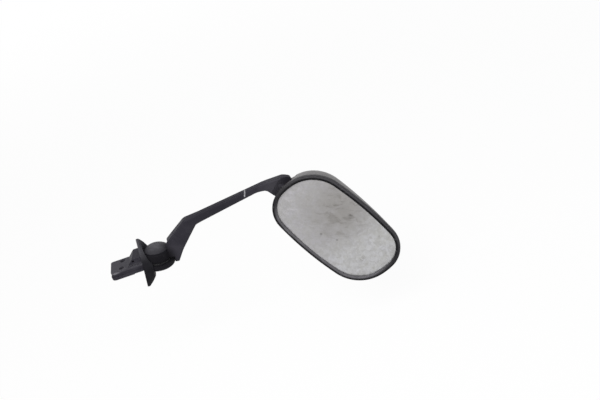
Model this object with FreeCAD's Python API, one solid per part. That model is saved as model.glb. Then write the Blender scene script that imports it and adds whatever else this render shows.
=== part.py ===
import FreeCAD, Part
import math
import os

from FreeCAD import Placement, Rotation, Vector

# A fairing-mounted scooter mirror. Lengths are in millimetres, angles in degrees.
# The part's origin is midway between the two tongue bolts, on the tongue's underside, with +Z up.

# Fold pivot: where its axis crosses the plane between base and arm, and how far it leans outwards.
PIVOT_X = 46.0
PIVOT_Z = 2.5
FOLD_LEAN = 10.0

# Base casting
TONGUE_BACK = 15.5
TONGUE_FAR_BACK = 18.0
TONGUE_HALF_WIDTH = 17.0
TONGUE_THICK = 10.0
TONGUE_CORNER = 7.0
TONGUE_FAR_CORNER = 4.0
TONGUE_EDGE = 1.2
LEDGE_DEPTH = 1.2
LEDGE_HEIGHT = 4.0
FOOT_REACH = 14.0
FOOT_RELIEF = 0.6
MOUNT_HOLE_R = 3.3
MOUNT_SPACING = 18.0
NECK_START = 7.0
NECK_SHOULDER = 17.5
NECK_TOP = 18.5
NECK_HALF_WIDTH = 13.0
NECK_EDGE = 2.0
HUB_R = 20.0
HUB_THICK = 8.0
HUB_EDGE = 3.0
CORE_HALF_WIDTH = 10.0
CORE_TOP = 7.0
CORE_ROOT = 6.0
SIDE_HOLE_R = 1.6
SIDE_HOLE_X = 18.0
SIDE_HOLE_Z = 15.4
SIDE_HOLE_DEPTH = 5.0

# Fold bolt and its stack
BOLT_R = 4.0
BOLT_HEAD_FLATS = 13.0
BOLT_HEAD_HEIGHT = 4.5
HEAD_RECESS_R = 9.0
HUB_FLOOR = 4.0
BOLT_PROUD = 1.8
RUNNING_CLEARANCE = 0.06
FRICTION_WASHER_R = 16.5
FRICTION_WASHER_THICK = 1.5
THRUST_WASHER_R = 10.0
THRUST_WASHER_THICK = 1.5
DISC_SPRING_R = 9.0
DISC_SPRING_SHEET = 1.0
DISC_SPRING_HEIGHT = 2.2
NUT_FLATS = 13.0
NUT_HEIGHT = 6.5

# Flared gasket between base and fairing. Heights are from the plane between base and arm.
GASKET_FACE = 22.0
GASKET_LIP = 3.0
LIP_TOP = 30.7
LIP_BOTTOM = -37.9
LIP_HALF_WIDTH = 16.0
LIP_TIP = 1.5
WAIST_REACH = 11.5
WAIST_TOP = 14.5
WAIST_BOTTOM = -28.0
WAIST_HALF_WIDTH = 18.5
WAIST_TIP = 4.0
WAIST_FAR_TIP = 11.0
FLARE_REACH = 7.0
FLARE_TOP = 3.0
FLARE_BOTTOM = -18.0
FLARE_HALF_WIDTH = 21.6
FLARE_TIP = 11.0
GASKET_TURN = 2.0
FAIRING_SAG = 2.4
GASKET_FIT = 0.05

# Arm
EYE_R = 16.5
EYE_HEIGHT = 11.8
EYE_FLOOR = 5.0
EYE_POCKET_R = 11.0
EYE_EDGE = 1.0
MOVING_CLEARANCE = 0.6
ARM_EDGE = 2.2
ARM_EYE_HALF = 8.0
ARM_RUN_HALF = 4.8
ARM_TAIL_HALF = 5.5
# Side outline of the blade: root, leg and elbow are placed from the pivot, run and tail from the ball.
ROOT_X = 2.0
ROOT_LOW = 2.0
ROOT_TOP = 9.4
ELBOW_X = 41.0
ELBOW_Z = 47.4
ELBOW_TURN = 11.0
CROOK_X = 55.6
CROOK_Z = 38.8
CROOK_TURN = 7.0
CALF_OUT = 22.2
CALF_Z = 21.2
ANKLE_OUT = 13.0
ANKLE_Z = 8.4
LEG_TURN = 40.0
HEEL_THICK = 5.2
HEEL_DROP = 6.2
HEEL_TURN = 2.0
HEEL_INNER_TURN = 1.0
NAPE_BACK = 47.0
NAPE_RISE = 33.6
NAPE_TURN = 120.0
CREST_BACK = 22.4
CREST_RISE = 37.9
CREST_TURN = 8.0
THROAT_BACK = 44.2
THROAT_RISE = 23.4
THROAT_TURN = 8.0
BELLY_BACK = 55.8
BELLY_RISE = 22.6
BELLY_TURN = 30.0
# Plan of the blade: where its thickness changes, and how softly
THICK_PAST_EYE = 9.5
THIN_PAST_ELBOW = 21.0
THIN_TO_BALL = 54.9
THICK_TO_BALL = 32.9
PLAN_EYE_TURN = 40.0
PLAN_RUN_TURN = 60.0
TAIL_TOP = 13.6
TAIL_SHOULDER = 16.4
TAIL_SHOULDER_REACH = 34.5
TAIL_LOW = 14.8
TAIL_CORNER = 3.0
TAIL_REACH = 27.0
TAIL_BEVEL = 11.0
BEVEL_SKEW = 0.08
TAIL_BLADE_HALF = 2.0
TAIL_BOSS_R = 4.6

# Pivot cap
CAP_R = 15.8
CAP_SIDE = 2.0
CAP_RISE = 6.0
CAP_SHOULDER = 1.4
CAP_WALL = 2.0
CAP_SKIRT_WALL = 0.9
CAP_SKIRT_DEPTH = 3.0
CAP_GAP = 0.4

# Ball joint. The ball lies in the arm's middle plane.
BALL_X = 192.9
BALL_Z = 44.7
BALL_R = 8.5
STUD_RISE = 135.5
NECK_R = 3.6
SHANK_R = 3.0
SHANK_DEPTH = 12.0
PIN_R = 1.25
PIN_FROM_END = 7.0
PIN_SINK = 0.3
PIN_COVER = 1.0
SEAT_THICK = 2.0
SEAT_HALF_ANGLE = 62.0
BALL_CLEARANCE = 0.05
NECK_CONE = 33.0

# Mirror head: attitude seen from the pivot, and the ball's place in the head's own axes
HEAD_YAW = 10.0
HEAD_PITCH = 9.0
HEAD_DROOP = 44.0
BALL_U = -49.2
BALL_V = -3.8
BALL_TO_BACK = 15.5

# Glass outline: four wide arcs joined by four corner arcs, alike after half a turn.
# The end and corner arcs are given as shares of the half width.
GLASS_HALF_LENGTH = 77.9
GLASS_HALF_WIDTH = 42.2
SIDE_ARC_R = 404.0
SIDE_ARC_SHIFT = -18.7
END_ARC_SHARE = 1.77
END_SHIFT_SHARE = 0.28
TIGHT_CORNER_SHARE = 0.67
FULL_CORNER_SHARE = 1.03

# Glass, pad and bezel
GLASS_CURVE_R = 1400.0
GLASS_THICK = 2.5
GLASS_RECESS = 0.65
GLASS_TUCK = 1.5
PAD_BACK = 7.5
PAD_INSET = 1.5
BEZEL_WIDTH = 5.5
BEZEL_SKIRT_WALL = 1.5
BEZEL_RISE = 1.3
BEZEL_CROWN = 3.0
BEZEL_DEPTH = 5.0
BEZEL_SHOULDER = 2.0
BEZEL_LIP_UNDER = 1.25
BEZEL_LIP_EDGE = 0.4
CROWN_FULLNESS = 0.75
BEAD_PLACE = 0.72
BEAD_BULGE = 0.75

# Housing
HOUSING_DEPTH = 44.5
HOUSING_WALL = 2.4
HOUSING_FOCUS_U = -45.0
HOUSING_FOCUS_V = -2.0
HOUSING_TILT = 13.0
HOUSING_TWIST = 3.0
EDGE_WALL = 2.2
EDGE_FIT = 0.1
LEDGE_WIDTH = 6.0
LEDGE_THICK = 1.6
STUD_HOLE_R = 10.2
# The hollow in the housing's end wall that the arm's tail moves in, measured round the ball.
KNUCKLE_R = 31.5
KNUCKLE_ANGLE = 39.5
KNUCKLE_FRONT = 9.2
KNUCKLE_BEHIND = 7.0
# The bowl's section: how square it is in depth and in width, the share of the rim's size left at its
# flat back, how its tilt builds up with depth, the steps it is drawn in and the degree of its curves.
BOWL_DEPTH_POWER = 3.2
BOWL_WIDTH_POWER = 3.2
BOWL_BACK_SHARE = 0.12
BOWL_TILT_POWER = 1.2
BOWL_STEPS = 12
BOWL_CURVE_DEGREE = 3
FITTING_ROOM = 0.6

# Clamp inside the housing
DISH_THICK = 2.0
CUP_THICK = 2.5
DISH_HALF_ANGLE = 56.0
CUP_HALF_ANGLE = 78.0
FLANGE_R = 23.0
FLANGE_THICK = 2.0
CLAMP_CIRCLE_R = 18.5
CLAMP_ANGLES = (0.0, 108.0, -108.0)
CLAMP_SCREW_R = 2.0
CLAMP_HEAD_R = 3.6
CLAMP_HEAD_HEIGHT = 2.4
CLAMP_THREAD = 8.0
PILLAR_R = 4.2
PILLAR_GAP = 1.5
SPRING_WASHER_R = 3.4
SPRING_WASHER_THICK = 1.2
HOLE_CLEARANCE = 0.25
BRACKET_ARM_HALF = 5.5
BRACKET_CIRCLE_SHARE = 0.6
BRACKET_ANGLES = (35.0, -35.0, 78.0, -78.0)
BRACKET_SCREW_R = 1.75
BRACKET_HEAD_R = 3.2
BRACKET_HEAD_HEIGHT = 2.0
BRACKET_THREAD = 4.5
BOSS_R = 4.0

# Values worked out from the sizes above
ORIGIN = Vector(0, 0, 0)
UP = Vector(0, 0, 1)
HUB_TOP = -FRICTION_WASHER_THICK
HUB_BOTTOM = HUB_TOP - HUB_THICK
BOLT_SEAT = HUB_TOP - HUB_FLOOR
THRUST_TOP = EYE_FLOOR + THRUST_WASHER_THICK
SPRING_TOP = THRUST_TOP + DISC_SPRING_HEIGHT
NUT_TOP = SPRING_TOP + NUT_HEIGHT
CAP_TOP = EYE_HEIGHT + CAP_SIDE + CAP_RISE
CAP_SPHERE_R = (CAP_R ** 2 + CAP_RISE ** 2) / (2 * CAP_RISE)
CAP_CENTRE = Vector(0, 0, CAP_TOP - CAP_SPHERE_R)
BALL = Vector(BALL_X, 0, BALL_Z)
STUD_DIR = Vector(math.cos(math.radians(STUD_RISE)), 0, math.sin(math.radians(STUD_RISE)))
TAIL_DIR = Vector(STUD_DIR.z, 0, -STUD_DIR.x)
TAIL_SEAT = KNUCKLE_R + MOVING_CLEARANCE
TAIL_END = BALL + STUD_DIR * TAIL_REACH
STUD_SEAT = BALL + STUD_DIR * TAIL_SEAT
BALL_DEPTH = HOUSING_DEPTH - BALL_TO_BACK
KNUCKLE_BACK = BALL_DEPTH + KNUCKLE_BEHIND
END_ARC_R = END_ARC_SHARE * GLASS_HALF_WIDTH
END_ARC_SHIFT = END_SHIFT_SHARE * GLASS_HALF_WIDTH
TIGHT_CORNER_R = TIGHT_CORNER_SHARE * GLASS_HALF_WIDTH
FULL_CORNER_R = FULL_CORNER_SHARE * GLASS_HALF_WIDTH
BALL_IN_HEAD = Vector(BALL_U, BALL_V, -BALL_DEPTH)
SEAT_R = BALL_R + BALL_CLEARANCE
SEAT_OUTER_R = SEAT_R + SEAT_THICK
CUP_R = SEAT_OUTER_R + BALL_CLEARANCE
DISH_RIM = CUP_R * math.cos(math.radians(DISH_HALF_ANGLE))
DISH_SEAT_W = -BALL_DEPTH + DISH_RIM
BRACKET_FRONT = -BALL_DEPTH - CUP_R * math.cos(math.radians(CUP_HALF_ANGLE))
BRACKET_BACK = BRACKET_FRONT - FLANGE_THICK
BRACKET_CIRCLE_R = BRACKET_CIRCLE_SHARE * GLASS_HALF_WIDTH
BEZEL_INNER_FACE = BEZEL_WIDTH - BEZEL_SKIRT_WALL
GLASS_CENTRE = Vector(0, 0, -GLASS_RECESS - GLASS_CURVE_R)

PIVOT_PLACE = Placement(Vector(PIVOT_X, 0, PIVOT_Z), Rotation(Vector(0, 1, 0), FOLD_LEAN))
HEAD_TURN = (
    Rotation(UP, -HEAD_YAW)
    * Rotation(Vector(1, 0, 0), 90.0 - HEAD_PITCH)
    * Rotation(UP, -HEAD_DROOP)
)
HEAD_PLACE = Placement(BALL - HEAD_TURN.multVec(BALL_IN_HEAD), HEAD_TURN)
STUD_IN_HEAD = HEAD_TURN.inverted().multVec(STUD_DIR)


def placed(shape, *places):
    """A copy of the shape moved by each placement in turn."""
    moved = shape.copy()
    for place in places:
        moved = moved.transformed(place.toMatrix())
    return moved


def cylinder(radius, bottom, top, centre=(0.0, 0.0)):
    return Part.makeCylinder(radius, top - bottom, Vector(centre[0], centre[1], bottom))


def ring(outer, inner, bottom, top):
    return cylinder(outer, bottom, top).cut(cylinder(inner, bottom, top))


def hexagon(flats, bottom, top, centre=(0.0, 0.0)):
    middle = Vector(centre[0], centre[1], bottom)
    corner = Vector(flats / math.sqrt(3), 0, 0)
    points = [middle + Rotation(UP, 60.0 * i).multVec(corner) for i in range(7)]
    return Part.Face(Part.makePolygon(points)).extrude(UP * (top - bottom))


def rounded_wire(corners, to_space):
    """A closed wire through (a, b, radius) corners, each rounded by a tangent arc."""
    flat = [Vector(a, b, 0) for a, b, _ in corners]
    edges = []
    ends = []
    count = len(corners)
    for i, (_, _, radius) in enumerate(corners):
        here = flat[i]
        back = (flat[i - 1] - here).normalize()
        ahead = (flat[(i + 1) % count] - here).normalize()
        if radius == 0:
            ends.append((here, None, here))
            continue
        half = back.getAngle(ahead) / 2
        run = radius / math.tan(half)
        middle = (back + ahead).normalize()
        inner = here + middle * (radius / math.sin(half) - radius)
        ends.append((here + back * run, inner, here + ahead * run))
    for i, (start, inner, finish) in enumerate(ends):
        if inner is not None:
            edges.append(Part.Arc(to_space(start), to_space(inner), to_space(finish)).toShape())
        following = ends[(i + 1) % count][0]
        edges.append(Part.LineSegment(to_space(finish), to_space(following)).toShape())
    return Part.Wire(edges)


def in_xy(point):
    return Vector(point.x, point.y, 0)


def in_xz(point):
    return Vector(point.x, 0, point.y)


def slab_xz(corners, half):
    """The XZ outline made solid to both sides of the middle plane."""
    face = Part.Face(rounded_wire(corners, in_xz))
    face.translate(Vector(0, -half, 0))
    return face.extrude(Vector(0, 2 * half, 0))


def edges_where(shape, test):
    return [edge for edge in shape.Edges if test(edge)]


# Base

def base_casting():
    block = tongue().fuse(neck()).cut(placed(behind_gasket(), PIVOT_PLACE))
    hub = cylinder(HUB_R, HUB_BOTTOM, HUB_TOP)
    hub = hub.makeFillet(HUB_EDGE, edges_where(hub, lambda e: e.BoundBox.ZMax < HUB_TOP - HUB_THICK / 2))
    core = neck_core(0.0).cut(cylinder(EYE_R + MOVING_CLEARANCE, HUB_TOP, CORE_TOP))
    cuts = [
        cylinder(HEAD_RECESS_R, HUB_BOTTOM, BOLT_SEAT),
        cylinder(BOLT_R, HUB_BOTTOM, HUB_TOP),
    ]
    turning = hub.fuse(core).cut(cuts)
    casting = block.fuse(placed(turning, PIVOT_PLACE))
    for side in (-1, 1):
        hole = cylinder(MOUNT_HOLE_R, 0, TONGUE_THICK, (0, side * MOUNT_SPACING / 2))
        casting = casting.cut(hole)
    side_hole = Part.makeCylinder(
        SIDE_HOLE_R, SIDE_HOLE_DEPTH, Vector(SIDE_HOLE_X, -NECK_HALF_WIDTH, SIDE_HOLE_Z), Vector(0, 1, 0))
    return casting.cut(side_hole).removeSplitter()


def tongue():
    """The bolting plate, with a foot that stands out below its sides."""
    plate = tongue_slab(0.0, TONGUE_THICK, LEDGE_DEPTH)
    tops = edges_where(plate, lambda e: e.BoundBox.ZMin > TONGUE_THICK / 2)
    foot = tongue_slab(0.0, LEDGE_HEIGHT, 0.0)
    rims = edges_where(foot, lambda e: e.BoundBox.ZMin > LEDGE_HEIGHT / 2)
    relief_corner = Vector(FOOT_REACH, -TONGUE_HALF_WIDTH, 0)
    relief = Part.makeBox(PIVOT_X, 2 * TONGUE_HALF_WIDTH, FOOT_RELIEF, relief_corner)
    return plate.makeFillet(TONGUE_EDGE, tops).fuse(foot.makeFillet(TONGUE_EDGE / 2, rims)).cut(relief)


def tongue_slab(bottom, top, inset):
    wide = TONGUE_HALF_WIDTH - inset
    corners = [
        (inset - TONGUE_BACK, -wide, TONGUE_CORNER - inset),
        (PIVOT_X, -wide, 0),
        (PIVOT_X, wide, 0),
        (inset - TONGUE_FAR_BACK, wide, TONGUE_FAR_CORNER - inset),
    ]
    face = Part.Face(rounded_wire(corners, in_xy))
    face.translate(UP * bottom)
    return face.extrude(UP * (top - bottom))


def neck():
    """The block that rises from the tongue, with a sloped face and rounded edges."""
    corners = [
        (NECK_START, FOOT_RELIEF, 0),
        (NECK_START, TONGUE_THICK - TONGUE_EDGE, 0),
        (NECK_SHOULDER, NECK_TOP, NECK_EDGE),
        (PIVOT_X, NECK_TOP, 0),
        (PIVOT_X, FOOT_RELIEF, 0),
    ]
    return slab_xz(corners, NECK_HALF_WIDTH)


def behind_gasket():
    """All the space on the hub's side of the gasket's face."""
    half = 4 * TONGUE_HALF_WIDTH
    space = Part.makeBox(4 * GASKET_FACE, 2 * half, 2 * half, Vector(0, -half, -half))
    return at_gasket_face(space.cut(fairing_curve()))


def fairing_curve():
    """The curved fairing under the gasket: it meets both tips and swells towards the hub between them."""
    half = (LIP_TOP - LIP_BOTTOM) / 2
    radius = (half ** 2 + FAIRING_SAG ** 2) / (2 * FAIRING_SAG)
    wide = 4 * TONGUE_HALF_WIDTH
    start = Vector(FAIRING_SAG - radius, -wide, (LIP_TOP + LIP_BOTTOM) / 2)
    return Part.makeCylinder(radius, 2 * wide, start, Vector(0, 1, 0))


def at_gasket_face(shape):
    """Turn a shape built at x = 0 to the fairing's line and set it at the gasket's face."""
    shape.rotate(ORIGIN, UP, GASKET_TURN)
    shape.translate(Vector(-GASKET_FACE, 0, 0))
    return shape


def neck_core(grow):
    """The web that joins block and hub through the gasket."""
    half = CORE_HALF_WIDTH + grow
    bottom = HUB_BOTTOM + HUB_EDGE - grow
    return Part.makeBox(GASKET_FACE + CORE_ROOT - BOLT_R, 2 * half, CORE_TOP + grow - bottom,
                        Vector(-GASKET_FACE - CORE_ROOT, -half, bottom))


def leaf(place, top, bottom, half_width, tip, far_tip):
    """A leaf standing across x, with bowed sides and flat tips, wider to the far side at the top."""
    middle = (top + bottom) / 2

    def at(across, height):
        return Vector(place, across, height)

    pieces = [
        Part.Arc(at(-tip, top), at(-half_width, middle), at(-tip, bottom)),
        Part.LineSegment(at(-tip, bottom), at(tip, bottom)),
        Part.Arc(at(tip, bottom), at(half_width, middle), at(far_tip, top)),
        Part.LineSegment(at(far_tip, top), at(-tip, top)),
    ]
    return Part.Wire([piece.toShape() for piece in pieces])


def fairing_gasket():
    lip_outline = (LIP_TOP, LIP_BOTTOM, LIP_HALF_WIDTH, LIP_TIP, LIP_TIP)
    waist_outline = (WAIST_TOP, WAIST_BOTTOM, WAIST_HALF_WIDTH, WAIST_TIP, WAIST_FAR_TIP)
    flare_outline = (FLARE_TOP, FLARE_BOTTOM, FLARE_HALF_WIDTH, FLARE_TIP, FLARE_TIP)
    lip = Part.Face(leaf(0, *lip_outline)).extrude(Vector(GASKET_LIP, 0, 0))
    flare = Part.makeLoft([
        leaf(GASKET_LIP, *lip_outline),
        leaf(GASKET_FACE - WAIST_REACH, *waist_outline),
        leaf(GASKET_FACE - FLARE_REACH, *flare_outline),
    ], True, False)
    skirt = at_gasket_face(lip.fuse(flare).cut(fairing_curve()))
    rooms = [
        cylinder(EYE_R + MOVING_CLEARANCE, HUB_TOP, LIP_TOP),
        cylinder(HUB_R + GASKET_FIT, HUB_BOTTOM - GASKET_FIT, HUB_TOP),
        cylinder(HEAD_RECESS_R, LIP_BOTTOM, HUB_BOTTOM),
        neck_core(GASKET_FIT),
    ]
    return skirt.cut(rooms)


def pivot_bolt():
    head = hexagon(BOLT_HEAD_FLATS, BOLT_SEAT - BOLT_HEAD_HEIGHT, BOLT_SEAT)
    return head.fuse(cylinder(BOLT_R, BOLT_SEAT, NUT_TOP + BOLT_PROUD)).removeSplitter()


def disc_spring():
    inner = BOLT_R + RUNNING_CLEARANCE
    section = Part.makePolygon([
        Vector(inner, 0, SPRING_TOP - DISC_SPRING_SHEET),
        Vector(DISC_SPRING_R, 0, THRUST_TOP),
        Vector(DISC_SPRING_R, 0, THRUST_TOP + DISC_SPRING_SHEET),
        Vector(inner, 0, SPRING_TOP),
        Vector(inner, 0, SPRING_TOP - DISC_SPRING_SHEET),
    ])
    return Part.Face(section).revolve(ORIGIN, UP, 360)


# Arm

def arm_web():
    """The dog-leg blade: its side outline, thinned along its length, with rounded edges."""
    top_end = TAIL_END + TAIL_DIR * TAIL_TOP
    low_end = TAIL_END - TAIL_DIR * TAIL_LOW
    shoulder = BALL + STUD_DIR * TAIL_SHOULDER_REACH + TAIL_DIR * TAIL_SHOULDER
    heel_x = HUB_R + MOVING_CLEARANCE
    side = [
        (ROOT_X, ROOT_LOW, 0),
        (ROOT_X, ROOT_TOP, 0),
        (ELBOW_X, ELBOW_Z, ELBOW_TURN),
        (BALL_X - NAPE_BACK, BALL_Z + NAPE_RISE, NAPE_TURN),
        (BALL_X - CREST_BACK, BALL_Z + CREST_RISE, CREST_TURN),
        (shoulder.x, shoulder.z, TAIL_CORNER),
        (top_end.x, top_end.z, TAIL_CORNER),
        (low_end.x, low_end.z, TAIL_CORNER),
        (BALL_X - THROAT_BACK, BALL_Z + THROAT_RISE, THROAT_TURN),
        (BALL_X - BELLY_BACK, BALL_Z + BELLY_RISE, BELLY_TURN),
        (CROOK_X, CROOK_Z, CROOK_TURN),
        (heel_x + CALF_OUT, CALF_Z, LEG_TURN),
        (heel_x + ANKLE_OUT, ANKLE_Z, LEG_TURN),
        (heel_x + HEEL_THICK, -HEEL_DROP, HEEL_TURN),
        (heel_x, -HEEL_DROP, HEEL_INNER_TURN),
        (heel_x, ROOT_LOW, 0),
    ]
    near = [
        (0.0, ARM_EYE_HALF, 0),
        (EYE_R + THICK_PAST_EYE, ARM_EYE_HALF, PLAN_EYE_TURN),
        (ELBOW_X + THIN_PAST_ELBOW, ARM_RUN_HALF, PLAN_RUN_TURN),
        (BALL_X - THIN_TO_BALL, ARM_RUN_HALF, PLAN_RUN_TURN),
        (BALL_X - THICK_TO_BALL, ARM_TAIL_HALF, PLAN_RUN_TURN),
        (BALL_X, ARM_TAIL_HALF, 0),
    ]
    plan = [(x, -half, turn) for x, half, turn in near] + near[::-1]
    plan_face = Part.Face(rounded_wire(plan, in_xy))
    plan_face.translate(UP * (-BALL_Z))
    web = slab_xz(side, 2 * ARM_EYE_HALF).common(plan_face.extrude(UP * (4 * BALL_Z))).Solids[0]
    return web.makeFillet(ARM_EDGE, broad_face_rims(web))


def broad_face_rims(web):
    """The edges between the blade's two broad faces and its narrow sides, clear of the eye."""
    rims = []
    for edge in web.Edges:
        broad = [faces_sideways(face) for face in web.ancestorsOfType(edge, Part.Face)]
        if any(broad) and not all(broad) and edge.BoundBox.XMin > ROOT_X:
            rims.append(edge)
    return rims


def faces_sideways(face):
    first, last, low, high = face.ParameterRange
    return abs(face.normalAt((first + last) / 2, (low + high) / 2).y) > math.cos(math.radians(45))


def arm():
    eye = cylinder(EYE_R, 0, EYE_HEIGHT)
    eye = eye.makeFillet(EYE_EDGE, edges_where(eye, lambda e: e.BoundBox.ZLength < EYE_EDGE))
    boss = Part.makeCylinder(TAIL_BOSS_R, TAIL_SEAT + TAIL_BEVEL - TAIL_REACH, TAIL_END, STUD_DIR)
    body = arm_web().cut([tail_bevel(-1), tail_bevel(1)]).fuse([eye, boss])
    body = body.cut([
        Part.makeSphere(TAIL_SEAT, BALL),
        Part.makeCylinder(NECK_R, TAIL_SEAT, BALL, STUD_DIR),
        cylinder(CAP_R + CAP_GAP, EYE_HEIGHT, BALL_Z),
        cylinder(EYE_POCKET_R, EYE_FLOOR, EYE_HEIGHT),
        cylinder(BOLT_R + RUNNING_CLEARANCE, 0, EYE_FLOOR),
        Part.makeCylinder(SHANK_R, SHANK_DEPTH, STUD_SEAT, STUD_DIR),
        pin_solid(),
    ])
    return body.removeSplitter()


def tail_bevel(side):
    """The wedge taken off one face of the tail, so that it thins towards the ball."""
    start = TAIL_SEAT + TAIL_BEVEL
    finish = TAIL_REACH - TAIL_BEVEL
    clear = 2 * ARM_TAIL_HALF
    section = [(start, ARM_TAIL_HALF), (finish, tail_half(finish)), (finish, clear), (start, clear)]
    along = TAIL_DIR + STUD_DIR * BEVEL_SKEW
    low = BALL - along * (2 * TAIL_LOW)
    points = [low + STUD_DIR * reach + Vector(0, side * half, 0) for reach, half in section]
    face = Part.Face(Part.makePolygon(points + points[:1]))
    return face.extrude(along * (4 * TAIL_LOW))


def pivot_cap():
    """A hollow plug: domed top with a rounded shoulder, short side, and a skirt that grips the eye."""
    ball = Part.makeSphere(CAP_SPHERE_R, CAP_CENTRE)
    inner_ball = Part.makeSphere(CAP_SPHERE_R - CAP_WALL, CAP_CENTRE)
    blank = cylinder(CAP_R, EYE_HEIGHT, CAP_TOP).common(ball)
    above_side = [e for e in blank.Edges if e.BoundBox.ZMin > EYE_HEIGHT + CAP_SIDE / 2]
    rims = [e for e in above_side if e.BoundBox.ZLength < CAP_SHOULDER]
    skirt_r = EYE_POCKET_R - RUNNING_CLEARANCE
    inner_r = skirt_r - CAP_SKIRT_WALL
    hollow = cylinder(inner_r, EYE_HEIGHT, CAP_TOP).common(inner_ball)
    skirt = ring(skirt_r, inner_r, EYE_HEIGHT - CAP_SKIRT_DEPTH, EYE_HEIGHT)
    return blank.makeFillet(CAP_SHOULDER, rims).cut(hollow).fuse(skirt).removeSplitter()


def tail_half(reach):
    """Half the tail's thickness on its bevel, at a distance from the ball."""
    slope = (ARM_TAIL_HALF - TAIL_BLADE_HALF) / TAIL_BEVEL
    return ARM_TAIL_HALF - slope * (TAIL_SEAT + TAIL_BEVEL - reach)


def pin_solid():
    """The cross pin, driven in from the far side and covered on the near side."""
    reach = TAIL_SEAT + PIN_FROM_END
    half = tail_half(reach)
    start = BALL + STUD_DIR * reach + Vector(0, PIN_COVER - half, 0)
    return Part.makeCylinder(PIN_R, 2 * half - PIN_COVER - PIN_SINK, start, Vector(0, 1, 0))


def ball_stud():
    ball = Part.makeSphere(BALL_R, BALL)
    neck = Part.makeCylinder(NECK_R, TAIL_SEAT, BALL, STUD_DIR)
    shank = Part.makeCylinder(SHANK_R, SHANK_DEPTH, STUD_SEAT, STUD_DIR)
    return ball.fuse([neck, shank]).cut(pin_solid()).removeSplitter()


# Mirror head, in its own axes: u along the glass, v across it, w out of its face

def head_outline(grow, height, shrink=1.0):
    """The glass outline grown outwards, at a height, shrunk towards the housing's deepest point."""
    side = Vector(SIDE_ARC_SHIFT, GLASS_HALF_WIDTH - SIDE_ARC_R, 0)
    end = Vector(GLASS_HALF_LENGTH - END_ARC_R, END_ARC_SHIFT, 0)
    tight = corner_centre(side, SIDE_ARC_R, end, END_ARC_R, TIGHT_CORNER_R)
    full = corner_centre(end, END_ARC_R, side * -1, SIDE_ARC_R, FULL_CORNER_R)
    wide = [
        (side, SIDE_ARC_R, tight, TIGHT_CORNER_R),
        (end, END_ARC_R, full, FULL_CORNER_R),
        (side * -1, SIDE_ARC_R, tight * -1, TIGHT_CORNER_R),
        (end * -1, END_ARC_R, full * -1, FULL_CORNER_R),
    ]
    focus = Vector(HOUSING_FOCUS_U, HOUSING_FOCUS_V, 0)

    def settle(point):
        return focus + (point - focus) * shrink + UP * height

    def touch(big, radius, small):
        return big + (small - big).normalize() * (radius + grow)

    edges = []
    for i, (big, radius, small, small_r) in enumerate(wide):
        before = touch(big, radius, wide[i - 1][2])
        after = touch(big, radius, small)
        following = wide[(i + 1) % len(wide)]
        beyond = touch(following[0], following[1], small)
        edges.append(arc_about(big, radius + grow, before, after, settle))
        edges.append(arc_about(small, small_r + grow, after, beyond, settle))
    return Part.Wire(edges)


def corner_centre(first, first_r, second, second_r, radius):
    """Centre of the corner arc that touches two wide arcs from inside."""
    a = first_r - radius
    b = second_r - radius
    gap = second - first
    span = gap.Length
    along = (a * a - b * b + span * span) / (2 * span)
    rise = math.sqrt(a * a - along * along)
    unit = gap * (1 / span)
    foot = first + unit * along
    sides = [foot + Vector(-unit.y, unit.x, 0) * s for s in (rise, -rise)]
    return max(sides, key=lambda p: p.x)


def arc_about(centre, radius, start, finish, settle):
    middle = ((start - centre) + (finish - centre)).normalize()
    return Part.Arc(settle(start), settle(centre + middle * radius), settle(finish)).toShape()


def head_prism(grow, bottom, top):
    return Part.Face(head_outline(grow, bottom)).extrude(UP * (top - bottom))


def bowl_stations():
    """Each step of the bowl: the share of its depth, and the share of the rim's size left there."""
    shrinks = [1 - (1 - BOWL_BACK_SHARE) * (step / BOWL_STEPS) ** 2 for step in range(BOWL_STEPS + 1)]
    depths = [(1 - shrink ** BOWL_WIDTH_POWER) ** (1 / BOWL_DEPTH_POWER) for shrink in shrinks]
    return [(depth / depths[-1], shrink) for depth, shrink in zip(depths, shrinks)]


def housing_bowl(inset):
    """The housing's outer form, or one a wall inside it: deep at the arm's end, shallow at the other."""
    rim = BEZEL_WIDTH - inset
    depth = HOUSING_DEPTH - BEZEL_DEPTH - inset
    focus = Vector(HOUSING_FOCUS_U, HOUSING_FOCUS_V, -BEZEL_DEPTH)
    wires = []
    for share, shrink in bowl_stations():
        wire = head_outline(rim, -BEZEL_DEPTH, shrink)
        wire.rotate(focus, UP, -HOUSING_TWIST * share)
        wire.rotate(focus, Vector(0, 1, 0), -HOUSING_TILT * share ** BOWL_TILT_POWER)
        wire.translate(UP * (-depth * share))
        wires.append(wire)
    return Part.makeLoft(wires, True, False, False, BOWL_CURVE_DEGREE)


def knuckle_bay(grow):
    """The space outside a ball round the joint where the tail moves, or one a wall thickness wider."""
    reach = 2 * KNUCKLE_R
    angle = math.radians(KNUCKLE_ANGLE) + math.asin(grow / KNUCKLE_R)
    cone = Part.makeCone(0, reach * math.tan(angle), reach, BALL_IN_HEAD, STUD_IN_HEAD)
    front = min(grow, KNUCKLE_FRONT - PAD_BACK) - KNUCKLE_FRONT
    back = -KNUCKLE_BACK - grow
    slab = Part.makeBox(4 * reach, 4 * reach, front - back, Vector(-2 * reach, -2 * reach, back))
    return cone.common(slab).cut(Part.makeSphere(KNUCKLE_R - grow, BALL_IN_HEAD))


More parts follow.
